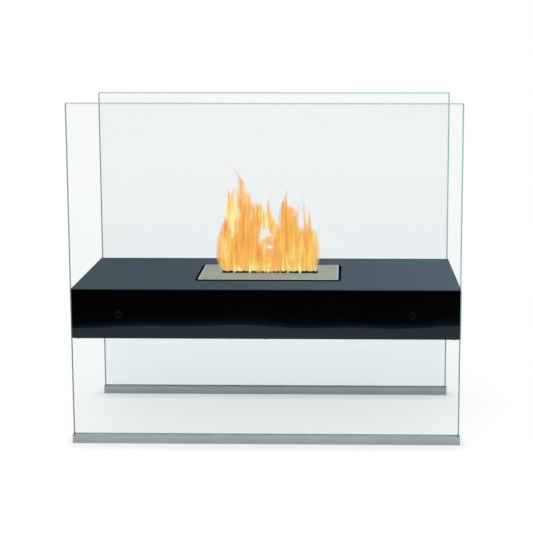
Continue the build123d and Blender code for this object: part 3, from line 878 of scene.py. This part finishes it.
def makeTongues(name, group, layer, rng):
    # p(u, v) = c(u) + s (w(u) cos v, d(u) sin v, 0) (1 + ripple(u, v)), for each share s of the shells; the
    # line c leans from the slot to its own place, y(h) = lean + (place - lean) exp(-h / settle)
    along, shells, root = layer["along"], layer["shells"], flame["root"]
    v = np.linspace(0, 2 * np.pi, layer["around"], endpoint=False)[None]
    u = np.linspace(0, 1, along + 2)[1:-1, None]
    pinch = np.minimum(1, np.linspace(1, 0, along + 2) * flame["tipClose"]) ** 0.5
    (tipPart, tipLeast), (rootPart, rootLeast) = shell["tipFade"], shell["rootFade"]
    endFade = np.clip((1 - u) / tipPart, tipLeast, 1) * np.clip(u / rootPart, rootLeast, 1)
    thin, thinLeast = shell["thinFade"]
    middleVeil, lessOut = shell["outward"]
    rootGlow, glowHeight = shell["rootGlow"]
    rings, starts, ends, veils, warmths = [], [], [], [], []
    for warmth, lean, dense, spine in group:
        full = curveThrough(spine, flame["curvePoints"])
        for level in range(shells):
            share = (level + flame["firstShell"]) / (shells - 1 + flame["firstShell"])
            reach = int((flame["curvePoints"] - 1) * (1 - flame["shorter"] * (1 - share)))
            x, z, w = full[np.linspace(0, reach, along + 2).astype(int)].T
            rise = np.maximum(z - root, 0) * flame["stretch"]
            z = root + rise
            y = lean + (layer["place"] - lean) * np.exp(-rise / flame["settle"])
            half = np.maximum(w, flame["thinnest"])
            inSlot = flame["rootDepth"] + flame["rootOpen"] * rise
            deep = np.minimum(half * flame["depth"] + flame["depthMore"], np.minimum(flame["most"], inSlot))
            phases = rng.uniform(0, 2 * np.pi, len(shell["ripples"]))
            swell = 1 + layer["ripple"] * sum(
                part * np.sin(about * v + up * u + phase)
                for (about, up, part), phase in zip(shell["ripples"], phases))
            ringX = x[1:-1, None] + (half * share * pinch)[1:-1, None] * np.cos(v) * swell
            ringY = y[1:-1, None] + (deep * share * pinch)[1:-1, None] * np.sin(v) * swell
            rings.append(np.stack([ringX, ringY, np.broadcast_to(z[1:-1, None], ringX.shape)], -1))
            starts.append((x[0], y[0], z[0]))
            ends.append((x[-1], y[-1], z[-1]))
            fade = endFade * np.clip(w[1:-1, None] / thin, thinLeast, 1)
            veil = dense * layer["veil"] * (middleVeil - lessOut * share) * fade
            veils.append(np.broadcast_to(veil, ringX.shape))
            glow = rootGlow * np.exp(-rise[1:-1, None] / glowHeight)
            warmths.append(np.broadcast_to(warmth + glow + shell["coreGlow"] * (1 - share), ringX.shape))
    veils, warmths = np.array(veils), np.array(warmths)
    return closedTubes(np.array(rings) * mm, np.array(starts) * mm, np.array(ends) * mm, {
        "veil": (veils, veils[:, 0, 0], veils[:, -1, 0]),
        "warmth": (warmths, warmths[:, 0, 0], warmths[:, -1, 0])}, name)


# pairs are the least and the most of a random draw
rootLicks = {  # small bright flames that lick up all along the slot
    "places": (-86, 92, 6.4),  # mm: first, last and step
    "shift": (-2, 2),
    "lean": (-5, 9),  # mm, back
    "tall": (20, 52),  # mm
    "wide": (3.2, 6.0),  # mm, half width
    "sway": (-3, 3),  # mm, of the tip
    "warmth": (0.62, 0.85),
    "shape": [(0, 0, 0.6), (0, 0.22, 1), (0.5, 0.55, 0.6)],  # shares of sway, height and half width
    "tip": 0.2,  # mm
}

frontLicks = {  # a few that rise at the front of the slot
    "places": (-69, -39, -24, -17, -10, -4, 4, 12, 19.5, 35, 58.7),  # mm
    "pull": (8, 25),  # mm from the middle where they are tall
    "veiling": {"tall": (30, 42), "wide": (5.5, 7.5), "foot": 1.2, "lean": -17, "dense": 1.2},
    "short": {"tall": (20, 28), "wide": (2.6, 3.4), "foot": 2.8, "lean": -7, "dense": 2.4},
    "warmth": (0.5, 0.7),
    "sunk": 1.5,  # mm, how far under the root they start
    "heights": (0.12, 0.4, 0.7),  # shares of the height, and of the half width there
    "widths": (0.4, 1, 0.7),
    "bend": 1,  # mm to the right, at the widest
    "sway": (-3, 3),
    "tip": 0.2,
}

strands = {  # thin streaks cut from the tongues' own lines
    "linePoints": 60,
    "count": 70,
    "start": (0, 20),  # first point on the line
    "length": (20, 36),  # and how many it runs on for
    "points": 6,
    "across": (-0.75, 0.75),  # share of the half width to the side
    "out": (0.3, 0.9),  # share of the depth to the front or back
    "wide": (1.6, 3.4),  # mm
    "swell": (0.25, math.pi - 0.05),  # stretch of a sine, its width along it
    "thinFade": (6, 0.1),  # mm of half width under which it thins
    "paler": [-0.40, -0.33, -0.25, 0.25, 0.45],
    "dense": 1.2,
}

trails = {  # faint streaks that run out over each tip
    "toEach": 4,
    "line": [30, 38, 46, 52, 56],  # points of the line that one follows
    "across": (-0.8, 0.8),
    "above": (-3, 9),  # mm, how far its end stands over the line's
    "wide": (1.2, 2.4),
    "widths": [0.4, 1.0, 0.9, 0.6, 0.1],  # shares of that along it
    "thinFade": (5, 0.15),
    "spread": 2,  # mm, the least that it spreads over
    "paler": (-0.2, 0.3),
    "lean": (-3, 3),
    "dense": 1.6,
}


def rootTongues(rng):
    # each point is at x + share sway and root + share tall, with share wide to either side
    group, root = [], flame["root"]
    for x in np.arange(*rootLicks["places"]):
        x = x + rng.uniform(*rootLicks["shift"])
        lean, tall, wide, sway = (rng.uniform(*rootLicks[key]) for key in ("lean", "tall", "wide", "sway"))
        spine = [(x + side * sway, root + up * tall, part * wide) for side, up, part in rootLicks["shape"]]
        spine.append((x + sway, root + tall, rootLicks["tip"]))
        group.append((rng.uniform(*rootLicks["warmth"]), lean, 1.0, spine))
    return group


def frontTongues(rng):
    # short ones break the slot's dark line, tall ones veil the sides of the pull
    group, root = [], flame["root"]
    nearest, farthest = frontLicks["pull"]
    for x in frontLicks["places"]:
        kind = frontLicks["veiling" if nearest < abs(x) < farthest else "short"]
        tall, wide, foot = rng.uniform(*kind["tall"]), rng.uniform(*kind["wide"]), kind["foot"]
        warmth = rng.uniform(*frontLicks["warmth"])
        low, middle, high = (root + tall * part for part in frontLicks["heights"])
        lowWide, middleWide, highWide = (wide * part for part in frontLicks["widths"])
        group.append((warmth, kind["lean"], kind["dense"], [
            (x, root - frontLicks["sunk"], foot), (x, low, max(foot, lowWide)),
            (x + frontLicks["bend"], middle, middleWide), (x, high, highWide),
            (x + rng.uniform(*frontLicks["sway"]), root + tall, frontLicks["tip"])]))
    return group


def streakTongues(rng):
    # strands run inside the body, some deep orange and some yellow, then trails run out over each tip
    group = []
    lastPoint = strands["linePoints"] - 1
    thin, least = strands["thinFade"]
    for _ in range(strands["count"]):
        warmth, lean, _, spine = tongues[rng.integers(0, len(tongues))]
        line = curveThrough(spine, strands["linePoints"])
        low = rng.integers(*strands["start"])
        high = min(lastPoint, low + rng.integers(*strands["length"]))
        across = rng.uniform(*strands["across"])
        out = rng.choice([-1, 1]) * rng.uniform(*strands["out"])
        part = line[np.linspace(low, high, strands["points"]).astype(int)]
        wide = rng.uniform(*strands["wide"]) * np.sin(np.linspace(*strands["swell"], strands["points"]))
        wide *= np.clip(part[:, 2] / thin, least, 1)
        lean = lean + out * min(part[:, 2].mean() * flame["depth"], flame["most"])
        path = [(x + across * half, z, w) for (x, z, half), w in zip(part, wide)]
        group.append((warmth + rng.choice(strands["paler"]), lean, strands["dense"], path))
    thin, least = trails["thinFade"]
    for warmth, lean, _, spine in tongues:
        part = curveThrough(spine, strands["linePoints"])[trails["line"]]
        steps = np.linspace(0, 1, len(part))
        for across in rng.uniform(*trails["across"], trails["toEach"]):
            above = rng.uniform(*trails["above"]) * steps ** 2
            wide = rng.uniform(*trails["wide"]) * np.array(trails["widths"])
            wide *= np.clip(part[:, 2] / thin, least, 1)
            path = [(x + across * max(half, trails["spread"]), z + more, w)
                    for (x, z, half), more, w in zip(part, above, wide)]
            group.append((warmth + rng.uniform(*trails["paler"]), lean + rng.uniform(*trails["lean"]),
                          trails["dense"], path))
    return group


def makeFlame():
    rng = np.random.default_rng(flame["seed"])
    pieces = [
        makeTongues("flameBody", tongues, flame["body"], rng),
        makeTongues("flameRoots", rootTongues(rng), flame["roots"], rng),
        makeTongues("flameFront", frontTongues(rng), flame["fronts"], rng),
        makeTongues("flameStreaks", streakTongues(rng), flame["streaks"], rng),
    ]
    material = flameMaterial("flame")
    material.cycles.emission_sampling = "NONE"
    for piece in pieces:
        piece.data.materials.append(material)
        piece.visible_shadow = False
        piece.visible_glossy = False
        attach(piece, "burner")
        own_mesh(piece)
    print("flame lit:", sum(len(piece.data.polygons) for piece in pieces), "faces")


makeFlame()
